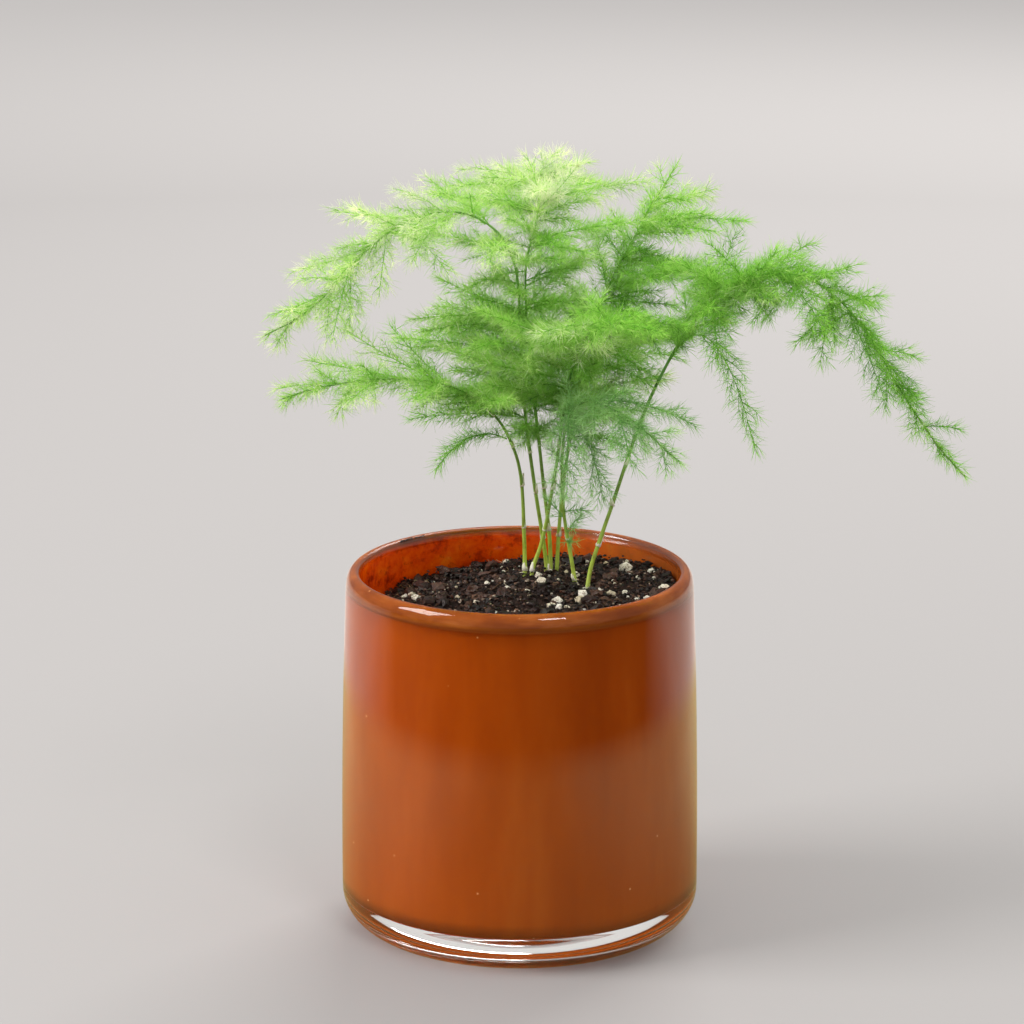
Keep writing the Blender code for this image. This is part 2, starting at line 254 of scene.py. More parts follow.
def evenly(line, shares):
    """The points at these shares of the line's length."""
    reach = np.concatenate([[0], np.cumsum(np.linalg.norm(np.diff(line, axis=0), axis=1))])
    goals = np.asarray(shares) * reach[-1]
    return np.stack([np.interp(goals, reach, line[:, i]) for i in range(3)], axis=1)


def unit(vectors):
    return vectors / np.maximum(np.linalg.norm(vectors, axis=-1, keepdims=True), 1e-12)


def headings(line):
    """The direction of travel at each point of a line."""
    return unit(np.gradient(line, axis=0))


print("Longest side branch", round(max(map(length_of, spray_lines.values())) / MM, 1), "mm")


# %% [markdown]
# ## Materials by name
#
# Small functions keep the node trees readable: one makes a material with its Principled
# shader, one adds a node, and one a noise pattern on Object coordinates.

# %% Node helpers
def new_material(name, roughness, specular=0.5):
    made = bpy.data.materials.new(name)
    made.use_nodes = True
    shader = made.node_tree.nodes["Principled BSDF"]
    shader.inputs["Roughness"].default_value = roughness
    shader.inputs["Specular IOR Level"].default_value = specular
    return made, made.node_tree, shader


def add_node(tree, kind, **settings):
    made = tree.nodes.new(kind)
    for setting, value in settings.items():
        setattr(made, setting, value)
    return made


def plug(tree, socket, value):
    """Link the socket to another node's output, or set it to a plain value."""
    if isinstance(value, bpy.types.NodeSocket):
        tree.links.new(value, socket)
    elif socket.type == "RGBA":
        socket.default_value = (*value, 1)
    else:
        socket.default_value = value


def arithmetic(tree, operation, first, second=0.5, clamp=False):
    made = add_node(tree, "ShaderNodeMath", operation=operation, use_clamp=clamp)
    plug(tree, made.inputs[0], first)
    plug(tree, made.inputs[1], second)
    return made.outputs["Value"]


def share_between(tree, source, low, high):
    """0 below the low value, 1 above the high one."""
    made = add_node(tree, "ShaderNodeMapRange")
    made.inputs["From Min"].default_value = low
    made.inputs["From Max"].default_value = high
    tree.links.new(source, made.inputs["Value"])
    return made.outputs["Result"]


def object_place(tree):
    return add_node(tree, "ShaderNodeTexCoord").outputs["Object"]


def place_along(tree, axis):
    split = add_node(tree, "ShaderNodeSeparateXYZ")
    tree.links.new(object_place(tree), split.inputs["Vector"])
    return split.outputs[axis]


def away_from_axis(tree):
    """How far a point lies from the pot's upright axis."""
    flat = add_node(tree, "ShaderNodeVectorMath", operation="MULTIPLY")
    flat.inputs[1].default_value = (1, 1, 0)
    tree.links.new(object_place(tree), flat.inputs[0])
    away = add_node(tree, "ShaderNodeVectorMath", operation="LENGTH")
    tree.links.new(flat.outputs["Vector"], away.inputs[0])
    return away.outputs["Value"]


def noise_pattern(tree, scale, detail=4.0, roughness=0.5, stretch=None):
    """Noise of about 1/scale metres, stretched if asked."""
    made = add_node(tree, "ShaderNodeTexNoise")
    made.inputs["Scale"].default_value = scale
    made.inputs["Detail"].default_value = detail
    made.inputs["Roughness"].default_value = roughness
    place = object_place(tree)
    if stretch:
        mapping = add_node(tree, "ShaderNodeMapping")
        mapping.inputs["Scale"].default_value = stretch
        tree.links.new(place, mapping.inputs["Vector"])
        place = mapping.outputs["Vector"]
    tree.links.new(place, made.inputs["Vector"])
    return made.outputs["Fac"]


def ramp(tree, source, *stops):
    """A colour ramp over a value: stops are (position, (r, g, b))."""
    made = add_node(tree, "ShaderNodeValToRGB")
    tree.links.new(source, made.inputs["Fac"])
    band = made.color_ramp.elements
    while len(band) < len(stops):
        band.new(0.5)
    for element, (position, colour) in zip(band, stops):
        element.position = position
        element.color = (*colour, 1)
    return made.outputs["Color"]


def blend_colours(tree, share, first, second, kind="MIX"):
    """first where share is 0 and second where it is 1.  Either may be a plain colour."""
    made = add_node(tree, "ShaderNodeMix", data_type="RGBA", blend_type=kind)
    factor = made.inputs[0]
    colours = [socket for socket in made.inputs if socket.type == "RGBA"]
    for socket, value in ((factor, share), (colours[0], first), (colours[1], second)):
        plug(tree, socket, value)
    return next(s for s in made.outputs if s.type == "RGBA")


def paint(tree, shader, colour):
    tree.links.new(colour, shader.inputs["Base Color"])


def bump(tree, shader, height, strength, distance):
    made = add_node(tree, "ShaderNodeBump")
    made.inputs["Strength"].default_value = strength
    made.inputs["Distance"].default_value = distance
    tree.links.new(height, made.inputs["Height"])
    tree.links.new(made.outputs["Normal"], shader.inputs["Normal"])


def lit_through(tree, surface, share, tint=(1, 1, 1)):
    """The material's surface, which lets this share of a shadow ray go straight on."""
    ray = add_node(tree, "ShaderNodeLightPath")
    passed = arithmetic(tree, "MULTIPLY", ray.outputs["Is Shadow Ray"], share)
    clear = add_node(tree, "ShaderNodeBsdfTransparent")
    plug(tree, clear.inputs["Color"], tint)
    mixed = add_node(tree, "ShaderNodeMixShader")
    tree.links.new(passed, mixed.inputs["Fac"])
    tree.links.new(surface, mixed.inputs[1])
    tree.links.new(clear.outputs["BSDF"], mixed.inputs[2])
    tree.links.new(mixed.outputs["Shader"], tree.nodes["Material Output"].inputs["Surface"])


def own_value(tree, name):
    """A number stored on the piece's own points."""
    return add_node(tree, "ShaderNodeAttribute", attribute_name=name).outputs["Fac"]


print("Node helpers ready")

# %% [markdown]
# ## The pot's shape
#
# The pot is blown glass, so it has no corners: the heel is round, the wall swells very
# slightly, and the lip was melted smooth in a flame. It is a turned shape, so a profile is
# drawn by extruding one point from place to place, and then spun about the axis.

# %% Measure the pot
casing_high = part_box("glass_casing")[1]
lining_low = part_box("amber_lining")[0]
POT_HEIGHT = casing_high.z
BELLY = casing_high.x
FOOT_TOP = lining_low.z
HEEL = 11 * MM
RIM = BELLY - 1.9 * MM
WALL = 4.0 * MM
CLEAR = 2.0 * MM  # the clear layer's share of the wall
FLOOR_TOP = FOOT_TOP + 2.6 * MM
TURNS = 144
print("Pot", round(2 * BELLY / MM, 1), "x", round(POT_HEIGHT / MM, 1), "mm, foot",
      round(FOOT_TOP / MM, 1), "mm thick")


# %% Turn a profile
def oval_arc(centre, across, up, start, end, steps):
    angles = np.radians(np.linspace(start, end, steps + 1))
    return [(centre[0] + across * math.cos(a), centre[1] + up * math.sin(a)) for a in angles]


def arc_points(centre, radius, start, end, steps):
    return oval_arc(centre, radius, radius, start, end, steps)


def wall_radius(height):
    share = max(0.0, (height - HEEL) / (POT_HEIGHT - 2 * MM - HEEL))
    return BELLY - (BELLY - RIM) * min(1.0, share) ** 2


def wall_line(inset, start, end, steps=16):
    heights = np.linspace(start, end, steps + 1)
    return [(wall_radius(z) - inset, z) for z in heights]


def turned(profile):
    """Draw the profile by extruding a point along it, and spin it round the Z axis."""
    start_clean()
    first = profile[0]
    bpy.ops.mesh.primitive_plane_add(size=MM, location=(first[0], 0, first[1]))
    piece = bpy.context.object
    edit_all()
    bpy.ops.mesh.merge(type="CENTER")
    for here, there in zip(profile, profile[1:]):
        step = (there[0] - here[0], 0, there[1] - here[1])
        bpy.ops.mesh.extrude_region_move(TRANSFORM_OT_translate={"value": step})
    bpy.ops.mesh.select_all(action="SELECT")
    bpy.ops.mesh.spin(steps=TURNS, angle=math.tau, center=(0, 0, 0), axis=(0, 0, 1))
    bpy.ops.mesh.select_all(action="SELECT")
    bpy.ops.mesh.remove_doubles(threshold=0.01 * MM)
    end_edit(face_outward=True)
    return piece


# %% Profiles of the clear casing and the amber lining
LIP_OUT = 2.6 * MM  # how far in from the rim the lip's highest ring lies
SHOULDER = 4.2 * MM
LIP_IN = WALL - LIP_OUT


def heel_arc(inset, floor, start, end, bend=None):
    """The rounded heel of a layer whose outside lies this far in."""
    bend = bend or HEEL - inset
    return arc_points((BELLY - inset - bend, floor + bend), bend, start, end, 12)


EMBED = 0.8 * MM  # the casing's hidden inner face lies this deep in the amber
CORNER = 5.5 * MM  # the bend at the bottom of the amber
casing_profile = [(0, 0.4 * MM), (22 * MM, 0.3 * MM), (36 * MM, 0)]
casing_profile += heel_arc(0, 0, -90, 0)
casing_profile += wall_line(0, HEEL, POT_HEIGHT - SHOULDER - 0.5 * MM)[1:]
casing_profile += oval_arc((RIM - LIP_OUT, POT_HEIGHT - SHOULDER), LIP_OUT, SHOULDER, 6, 90, 10)
casing_profile += arc_points((RIM - LIP_OUT, POT_HEIGHT - LIP_IN), LIP_IN, 100, 180, 7)
casing_profile += [(RIM - WALL, POT_HEIGHT - 2.9 * MM), (RIM - WALL + EMBED, POT_HEIGHT - 3.4 * MM)]
casing_profile += wall_line(CLEAR + EMBED, POT_HEIGHT - 5.5 * MM, FOOT_TOP + HEEL)
casing_profile += heel_arc(CLEAR + EMBED, FOOT_TOP + EMBED, 0, -90, CORNER - EMBED)
casing_profile += [(20 * MM, FOOT_TOP + EMBED), (0, FOOT_TOP + EMBED)]
pot_casing = settle(turned(casing_profile), "pot_casing")

SKIN = 0.45 * MM  # how thin the clear layer gets over the lip
SAG = 6.2 * MM  # how far the amber's underside bulges down into the clear foot
SAG_REACH = 38 * MM
lining_profile = [(SAG_REACH * share, FOOT_TOP - SAG * math.cos(share * math.pi / 2) ** 0.55)
                  for share in np.linspace(0, 0.99, 16)]
lining_profile += heel_arc(CLEAR, FOOT_TOP, -90, 0, CORNER)
lining_profile += wall_line(CLEAR, FOOT_TOP + HEEL, POT_HEIGHT - 5.6 * MM)
for share in (0.2, 0.5, 0.8):
    inset = CLEAR + (SKIN - CLEAR) * share
    lining_profile += [(wall_radius(POT_HEIGHT) - inset, POT_HEIGHT - (5.5 - share) * MM)]
lining_profile += oval_arc((RIM - LIP_OUT, POT_HEIGHT - SHOULDER), LIP_OUT - SKIN,
                           SHOULDER - SKIN, 6, 90, 10)
lining_profile += arc_points((RIM - LIP_OUT, POT_HEIGHT - LIP_IN), LIP_IN - SKIN, 100, 165, 5)
lining_profile += wall_line(WALL, POT_HEIGHT - 3.5 * MM, FLOOR_TOP + HEEL)
lining_profile += heel_arc(WALL, FLOOR_TOP, 0, -90, CORNER - 2 * MM)
lining_profile += [(20 * MM, FLOOR_TOP), (0, FLOOR_TOP)]
pot_lining = settle(turned(lining_profile), "pot_lining")
for piece in (pot_casing, pot_lining):
    print(piece.name, triangles(piece), "triangles")

# %% [markdown]
# ## Glass: clear outside, amber inside
#
# The outer layer is ordinary clear glass, which bends light at an index of 1.5. Lamps can't be
# sampled through such a surface, so for shadow rays it is swapped for a transparent one: the amber
# inside is then lit cleanly. The amber is nearly opaque, with faint upright streaks where the
# gather was drawn, and seeds of air. At the lip it has a veined band whose top is painted paler, a
# painted glow for the light that shines through the thin glass there.

# %% Clear glass
clear_glass, tree, shader = new_material("clear_glass", 0.015)
shader.inputs["Base Color"].default_value = (0.97, 0.965, 0.95, 1)
shader.inputs["Transmission Weight"].default_value = 1.0
shader.inputs["IOR"].default_value = 1.5
ripple = noise_pattern(tree, 26, detail=1.0, stretch=(1, 1, 0.3))
bump(tree, shader, ripple, 0.05, 0.5 * MM)
lit_through(tree, shader.outputs["BSDF"], 1.0, (0.95, 0.94, 0.92))
finished(pot_casing, clear_glass, ["glass_casing"])
print(clear_glass.name, len(tree.nodes), "nodes")

# %% Amber glass
amber_glass, tree, shader = new_material("amber_glass", 0.12, 0.0)
outer = share_between(tree, away_from_axis(tree), BELLY - 4.7 * MM, BELLY - 4.5 * MM)

streaks = noise_pattern(tree, 70, detail=6.0, roughness=0.6, stretch=(1, 1, 0.2))
outside = ramp(tree, streaks, (0.3, (0.33, 0.052, 0.0012)), (0.55, (0.39, 0.068, 0.0022)),
               (0.75, (0.44, 0.09, 0.005)))
height = place_along(tree, "Z")
lip_band = share_between(tree, height, POT_HEIGHT - 5.7 * MM, POT_HEIGHT - 5.2 * MM)
veins = noise_pattern(tree, 60, detail=5.0, roughness=0.6, stretch=(1, 1, 4))
lip = ramp(tree, veins, (0.35, (0.20, 0.04, 0.003)), (0.5, (0.27, 0.062, 0.006)),
           (0.68, (0.38, 0.11, 0.018)))
# Painted glow: the top of the lip is painted paler, for the light that shines through the thin
# glass there.
lip_top_painted_glow = share_between(tree, height, POT_HEIGHT - 5.2 * MM, POT_HEIGHT - 3.5 * MM)
outside = blend_colours(tree, lip_band, outside,
                        blend_colours(tree, lip_top_painted_glow, (0.50, 0.15, 0.022), lip))
dots = add_node(tree, "ShaderNodeTexVoronoi")
dots.inputs["Scale"].default_value = 260
tree.links.new(object_place(tree), dots.inputs["Vector"])
near = share_between(tree, dots.outputs["Distance"], 0.1, 0.04)
chance = add_node(tree, "ShaderNodeSeparateColor")
tree.links.new(dots.outputs["Color"], chance.inputs["Color"])
rare = arithmetic(tree, "GREATER_THAN", chance.outputs["Red"], 0.93)
seeds = arithmetic(tree, "MULTIPLY", near, rare)
outside = blend_colours(tree, seeds, outside, (0.8, 0.42, 0.15))
blotches = noise_pattern(tree, 130, detail=7.0, roughness=0.7)
inside = ramp(tree, blotches, (0.34, (0.36, 0.018, 0.0005)), (0.46, (0.84, 0.062, 0.0005)),
              (0.6, (0.96, 0.115, 0.001)), (0.74, (1.0, 0.24, 0.012)))
stains = noise_pattern(tree, 420, detail=5.0, roughness=0.65)
inside = blend_colours(tree, 0.6, inside,
                       ramp(tree, stains, (0.33, (0.4, 0.25, 0.2)), (0.45, (1, 1, 1))), "MULTIPLY")
# Painted light: the right side of the inner wall is painted a duller brown-orange, for how the
# light falls on that side.
rightward = share_between(tree, place_along(tree, "X"), -5 * MM, 30 * MM)
right_side_painted_light = arithmetic(tree, "MULTIPLY", rightward, 0.75)
inside = blend_colours(tree, right_side_painted_light, inside, (0.42, 0.125, 0.022))
crest = share_between(tree, height, POT_HEIGHT - 2.6 * MM, POT_HEIGHT - 1.2 * MM)
inside = blend_colours(tree, crest, inside, (0.24, 0.05, 0.005))
paint(tree, shader, blend_colours(tree, outer, inside, outside))
tree.links.new(arithmetic(tree, "SUBTRACT", 1.0, outer), shader.inputs["Coat Weight"])
shader.inputs["Coat Roughness"].default_value = 0.08
finished(pot_lining, amber_glass, ["amber_lining"])
print(amber_glass.name, len(tree.nodes), "nodes")

# %% [markdown]
# ## Soil
#
# Potting mix is peat and bark in crumbs of every size, with white grains of perlite and a few
# root threads. The bed is a fine grid cut to a disc and raised to the frame's soil surface,
# then roughened. Loose crumbs and grains are modelled once in a few shapes and copied.

# %% The bed of soil
soil_shape = welded("potting_soil")
soil_tree = BVHTree.FromBMesh(soil_shape)
SOIL_RADIUS = RIM - WALL - 0.4 * MM
SOIL_LEVEL = 96 * MM
SOIL_LEAST = 85 * MM  # anything lower is the bottom of a stem's hole
BED_GRID = 200
BED_DEPTH = 20 * MM
BED_BASE = 98 * MM  # what the bed's flat underside is raised by


def soil_at(x, y):
    """The frame's soil surface over a point, found by looking down on it."""
    hit = soil_tree.ray_cast(Vector((x, y, 0.2)), Vector((0, 0, -1)))[0]
    return hit.z if hit and hit.z > SOIL_LEAST else None


def soil_height(x, y):
    """The same, read just beside a stem's hole if the point lies over one."""
    for reach in (0, 1.5, 3, 4.5):
        for turn in range(0, 360, 45):
            across = reach * MM * math.cos(math.radians(turn))
            found = soil_at(x + across, y + reach * MM * math.sin(math.radians(turn)))
            if found is not None:
                return found
    return SOIL_LEVEL


def lumps(x, y):
    """Crumbs of three sizes, as heights."""
    place = Vector((x, y, 0.3))
    coarse = noise.noise(place * 130) * 1.7
    cells = noise.voronoi(place * 230)[0]
    crumbs = (cells[1] - cells[0]) * 1.9
    fine = noise.noise(place * 1100) * 0.45
    return (coarse + crumbs + fine - 0.3) * MM


start_clean()
bpy.ops.mesh.primitive_grid_add(x_subdivisions=BED_GRID, y_subdivisions=BED_GRID,
                                size=2 * SOIL_RADIUS)
soil_bed = bpy.context.object
bpy.ops.object.mode_set(mode="EDIT")
bpy.ops.mesh.select_all(action="DESELECT")
shape = bmesh.from_edit_mesh(soil_bed.data)
for vertex in shape.verts:
    vertex.select = vertex.co.xy.length > SOIL_RADIUS
shape.select_flush(True)
bmesh.update_edit_mesh(soil_bed.data)
bpy.ops.mesh.delete(type="VERT")
bpy.ops.mesh.select_all(action="DESELECT")
bpy.ops.mesh.select_non_manifold(extend=False)
bpy.ops.mesh.extrude_region_move(TRANSFORM_OT_translate={"value": (0, 0, -BED_DEPTH)})
bpy.ops.mesh.edge_face_add()
bpy.ops.object.mode_set(mode="OBJECT")
for vertex in soil_bed.data.vertices:
    x, y = vertex.co.xy
    vertex.co.z += soil_height(x, y) + lumps(x, y) if vertex.co.z > -MM else BED_BASE
settle(soil_bed, "soil_bed")
print(soil_bed.name, triangles(soil_bed), "triangles")

# %% [markdown]
# ## Copies from one model
#
# A template is modelled, then read as plain points and faces. Copies of it are placed with their
# own direction, size and a stored number that the material reads, and all of them become one mesh.

# %% Copy a template many times into one mesh
def read_template(piece):
    """The points and faces of a modelled piece, which then leaves the scene."""
    points = np.array([vertex.co for vertex in piece.data.vertices])
    faces = [tuple(face.vertices) for face in piece.data.polygons]
    bpy.data.objects.remove(piece)
    return points, faces


def mesh_of_copies(name, templates, spots, tone, picks=None):
    """One mesh of copies.  spots is (n, 3, 4): each copy's axes as columns, and its place."""
    picks = np.zeros(len(spots), int) if picks is None else picks
    all_points, all_faces, all_tones = [], [], []
    start = 0
    for number, (points, faces) in enumerate(templates):
        chosen = np.flatnonzero(picks == number)
        if not len(chosen):
            continue
        placed = np.einsum("nij,kj->nki", spots[chosen, :, :3], points)
        placed += spots[chosen, None, :, 3]
        all_points.append(placed.reshape(-1, 3))
        all_tones.append(np.repeat(tone[chosen], len(points)))
        for i in range(len(chosen)):
            first = start + i * len(points)
            all_faces.extend([tuple(first + v for v in face) for face in faces])
        start += len(chosen) * len(points)
    mesh = bpy.data.meshes.new(name)
    mesh.from_pydata(np.vstack(all_points).tolist(), [], all_faces)
    store(mesh, np.concatenate(all_tones))
    made = bpy.data.objects.new(name, mesh)
    bpy.context.scene.collection.objects.link(made)
    return made


def spots_of(first, second, third, places):
    """Each copy's three axes and its place, as mesh_of_copies takes them."""
    return np.stack([first, second, third, np.broadcast_to(places, first.shape)], axis=-1)


def store(mesh, values):
    mesh.attributes.new("tone", "FLOAT", "POINT").data.foreach_set(
        "value", np.asarray(values, dtype=np.float32))


def turned_spots(rng, places, sizes, squash=0.7):
    """Random turns and sizes for loose lumps."""
    spots = np.zeros((len(places), 3, 4))
    for i, (place, size) in enumerate(zip(places, sizes)):
        turn = Matrix.Rotation(rng.uniform(0, math.tau), 3, "Z")
        tip = Matrix.Rotation(rng.uniform(-0.7, 0.7), 3, "X")
        scale = Matrix.Diagonal((size, size * rng.uniform(0.6, 1), size * squash))
        spots[i, :, :3] = np.array(turn @ tip @ scale)
        spots[i, :, 3] = place
    return spots


def lump_template(seed, subdivisions, roughness):
    """A rough lump of unit radius: a ball whose points are pushed about."""
    start_clean()
    bpy.ops.mesh.primitive_ico_sphere_add(subdivisions=subdivisions, radius=1)
    edit_all()
    bpy.ops.transform.vertex_random(offset=roughness, seed=seed)
    end_edit()
    return read_template(bpy.context.object)


def strew(rng, count, reach):
    """Points spread evenly over the soil, kept off the pot's wall."""
    out = np.sqrt(rng.uniform(0, 1, count)) * reach
    turn = rng.uniform(0, math.tau, count)
    x, y = out * np.cos(turn), out * np.sin(turn)
    z = [soil_height(a, b) + lumps(a, b) for a, b in zip(x, y)]
    return np.stack([x, y, z], axis=1)


def loose_lumps(rng, name, shapes, places, sizes, squash=0.7, palest=1.0):
    """Copies of some lump shapes, each with its own turn, size and tone, as one faceted piece."""
    picks = rng.integers(0, len(shapes), len(places))
    spots = turned_spots(rng, places, sizes, squash)
    piece = mesh_of_copies(name, shapes, spots, rng.uniform(0, palest, len(places)), picks)
    settle(piece, name, smooth_faces=False)
    print(name, len(places), "lumps,", triangles(piece), "triangles")
    return piece


rng = np.random.default_rng(11)
clods = [lump_template(seed, 2, 0.62) for seed in range(6)]
places = strew(rng, 1500, SOIL_RADIUS - 1.5 * MM)
sizes = np.clip(rng.lognormal(0, 0.6, len(places)) * 0.62, 0.25, 2.4) * MM
places[:, 2] += sizes * 0.3
soil_crumbs = loose_lumps(rng, "soil_crumbs", clods, places, sizes, palest=0.93)

# %% Fine bits of bark, and a smear of them on the rim
chips = [lump_template(seed, 1, 0.75) for seed in range(40, 46)]
places = strew(rng, 5200, SOIL_RADIUS - 1.2 * MM)
sizes = rng.uniform(0.18, 0.62, len(places)) * MM
places[:, 2] += rng.uniform(0, 1.3, len(places)) * MM
SMEAR_CHIPS = 60
SMEAR_TURN = 133  # degrees round the rim
turn = np.radians(rng.normal(SMEAR_TURN, 3.2, SMEAR_CHIPS))
ring = RIM - (3.1 + rng.uniform(0, 0.7, SMEAR_CHIPS)) * MM
height = np.full(SMEAR_CHIPS, POT_HEIGHT - 0.2 * MM) - rng.uniform(0, 0.25, SMEAR_CHIPS) * MM
smear = np.stack([ring * np.cos(turn), ring * np.sin(turn), height], axis=1)
places = np.vstack([places, smear])
sizes = np.concatenate([sizes, rng.uniform(0.14, 0.4, SMEAR_CHIPS) * MM])
soil_bits = loose_lumps(rng, "soil_bits", chips, places, sizes, 0.6)

# %% Perlite
grain_shapes = [lump_template(seed, 2, 0.42) for seed in range(20, 26)]
places = strew(rng, 230, SOIL_RADIUS - 2.5 * MM)
sizes = np.clip(rng.lognormal(-0.25, 0.6, len(places)) * 0.72, 0.22, 1.7) * MM
places[:, 2] += sizes * 0.35
loose = [node for node in frame["nodes"] if node.startswith("perlite_grain")]
for i, node in enumerate(sorted(loose)):
    low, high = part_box(node)
    places[i] = (low + high) / 2
    sizes[i] = (high.x - low.x) / 2
perlite = loose_lumps(rng, "perlite_grains", grain_shapes, places, sizes, 0.75)


# %% [markdown]
# ## Tubes on lines
#
# Roots, stems and twigs are all thin tubes. A curve with many splines gives each its line and
# its thickness at every point. It is made a mesh at the end.

# %% Many tubes as one mesh
def tubes(name, lines, radii, tones, sides=2):
    """One mesh of closed tubes.  Each line has its radius and its tone at every point."""
    data = bpy.data.curves.new(name, "CURVE")
    data.dimensions = "3D"
    data.bevel_depth = 1.0
    data.bevel_resolution = sides
    data.use_fill_caps = True
    for line, radius in zip(lines, radii):
        spline = data.splines.new("POLY")
        spline.points.add(len(line) - 1)
        flat = np.hstack([line, np.ones((len(line), 1))]).ravel()
        spline.points.foreach_set("co", flat)
        spline.points.foreach_set("radius", radius)
    made = bpy.data.objects.new(name, data)
    bpy.context.scene.collection.objects.link(made)
    only(made)
    bpy.ops.object.convert(target="MESH")
    made = bpy.context.object
    nearest = KDTree(sum(map(len, lines)))
    for i, point in enumerate(np.concatenate(lines)):
        nearest.insert(point, i)
    nearest.balance()
    own = np.concatenate(tones)
    store(made.data, [own[nearest.find(vertex.co)[1]] for vertex in made.data.vertices])
    only(made)
    edit_all()
    bpy.ops.mesh.remove_doubles(threshold=0.001 * MM)
    end_edit(face_outward=True)
    return made


# %% Threads of root and bark on the soil
def thread_line(rng, place, length):
    """A thin root that lies over the crumbs, curling a little."""
    heading = rng.uniform(0, math.tau)
    line = [np.array(place)]
    for _ in range(7):
        heading += rng.normal(0, 0.35)
        step = np.array([math.cos(heading), math.sin(heading), 0]) * length / 7
        point = line[-1] + step
        away = math.hypot(point[0], point[1])
        if away > SOIL_RADIUS - 1.5 * MM:
            break
        lift = abs(rng.normal(0, 0.5)) * MM
        point[2] = soil_height(point[0], point[1]) + 0.9 * MM + lift
        line.append(point)
    return smooth(np.array(line), 14) if len(line) > 3 else None


starts = strew(rng, 34, SOIL_RADIUS - 4 * MM)
lines = [thread_line(rng, place, rng.uniform(4, 11) * MM) for place in starts]
lines = [line for line in lines if line is not None]
thick = [np.linspace(rng.uniform(0.06, 0.15), 0.04, len(line)) * MM for line in lines]
tones = [np.full(len(line), rng.uniform(0, 1)) for line in lines]
soil_fibres = settle(tubes("soil_fibres", lines, thick, tones, 1), "soil_fibres")
print(soil_fibres.name, len(lines), "threads,", triangles(soil_fibres), "triangles")

# %% Soil, perlite and root finishes
peat, tree, shader = new_material("peat", 0.7, 0.25)
grain = noise_pattern(tree, 900, detail=8.0, roughness=0.7)
patches = noise_pattern(tree, 150, detail=3.0)
mottled = ramp(tree, grain, (0.3, (0.007, 0.003, 0.002)), (0.52, (0.030, 0.013, 0.009)),
               (0.72, (0.085, 0.038, 0.024)))
mottled = blend_colours(tree, patches, mottled, (0.35, 0.3, 0.28), "MULTIPLY")
paint(tree, shader, mottled)
bump(tree, shader, grain, 0.9, 0.5 * MM)
finished(soil_bed, peat, ["potting_soil"])

crumb_peat, tree, shader = new_material("peat_crumbs", 0.45, 0.45)
own = own_value(tree, "tone")
grain = noise_pattern(tree, 1400, detail=6.0, roughness=0.7)
crumb_colour = ramp(tree, own, (0.0, (0.006, 0.003, 0.002)), (0.55, (0.024, 0.010, 0.007)),
                    (0.88, (0.085, 0.038, 0.024)), (0.96, (0.20, 0.10, 0.06)),
                    (1.0, (0.55, 0.46, 0.36)))
speckled = ramp(tree, grain, (0.35, (0.4, 0.4, 0.4)), (0.65, (1.3, 1.25, 1.2)))
paint(tree, shader, blend_colours(tree, 1.0, crumb_colour, speckled, "MULTIPLY"))
bump(tree, shader, grain, 0.8, 0.3 * MM)
finished(soil_crumbs, crumb_peat)
finished(soil_bits, crumb_peat)

white_grain, tree, shader = new_material("perlite_grain", 0.85)
own = own_value(tree, "tone")
pores = noise_pattern(tree, 1800, detail=5.0, roughness=0.65)
grain_colour = ramp(tree, own, (0.0, (0.46, 0.38, 0.24)), (0.35, (0.68, 0.62, 0.48)),
                    (1.0, (0.86, 0.84, 0.78)))
dirt = ramp(tree, pores, (0.36, (0.25, 0.17, 0.10)), (0.5, (0.95, 0.93, 0.9)))
paint(tree, shader, blend_colours(tree, 1.0, grain_colour, dirt, "MULTIPLY"))
bump(tree, shader, pores, 0.7, 0.25 * MM)
finished(perlite, white_grain, loose)

root_skin, tree, shader = new_material("root_skin", 0.75)
own = own_value(tree, "tone")
paint(tree, shader, ramp(tree, own, (0.0, (0.10, 0.045, 0.02)), (0.5, (0.24, 0.13, 0.06)),
                         (1.0, (0.46, 0.36, 0.2))))
bump(tree, shader, noise_pattern(tree, 1500), 0.3, 0.1 * MM)
finished(soil_fibres, root_skin)

crown_skin, tree, shader = new_material("crown_skin", 0.7)
paint(tree, shader, ramp(tree, noise_pattern(tree, 260, stretch=(1, 1, 0.3)),
                         (0.3, (0.30, 0.20, 0.10)), (0.7, (0.55, 0.45, 0.28))))
bump(tree, shader, noise_pattern(tree, 600), 0.4, 0.3 * MM)
crown = frame["nodes"]["root_crown"]
crown.data.materials.clear()
crown.data.materials.append(crown_skin)
print("Soil finishes ready")

# %% [markdown]
# ## Stems
#
# A stem is wiry, a millimetre and a quarter thick at its foot, a little swollen at each node,
# and yellow-green low down. Each one follows its solid's midline.

# %% Stem tubes
UP = np.array([0.0, 0.0, 1.0])


def branch_frame(line):
    """Heading, sideways and upward directions at each point of a line."""
    ahead = headings(line)
    side = np.cross(ahead, UP)
    steep = np.linalg.norm(side, axis=1) < 0.25
    side[steep] = np.cross(ahead[steep], np.array([0.3, -1.0, 0.0]))
    side = unit(side)
    return ahead, side, np.cross(side, ahead)


def index_at(line, share):
    return min(int(share * (len(line) - 1)), len(line) - 1)


STEM_POINTS = 110
STEM_RADIUS = 0.64 * MM
STEM_TIP = 0.2 * MM
NODE_GAP = 13 * MM


def stem_radii(line):
    share = np.linspace(0, 1, len(line))
    reach = share * length_of(line)
    swell = 1 + 0.12 * np.exp(-((np.mod(reach, NODE_GAP) - NODE_GAP / 2) / (0.8 * MM)) ** 2)
    return (STEM_TIP + (STEM_RADIUS - STEM_TIP) * (1 - share) ** 1.4) * swell


stem_curves = {}
for node in STEMS:
    line = smooth(stem_lines[node], STEM_POINTS)
    stem_curves[node] = line
    tone = np.clip((line[:, 2] - 0.095) / 0.11, 0, 1)
    piece = tubes("fern_" + node, [line], [stem_radii(line)], [tone], 3)
    settle(piece, "fern_" + node)
print(len(stem_curves), "stems")

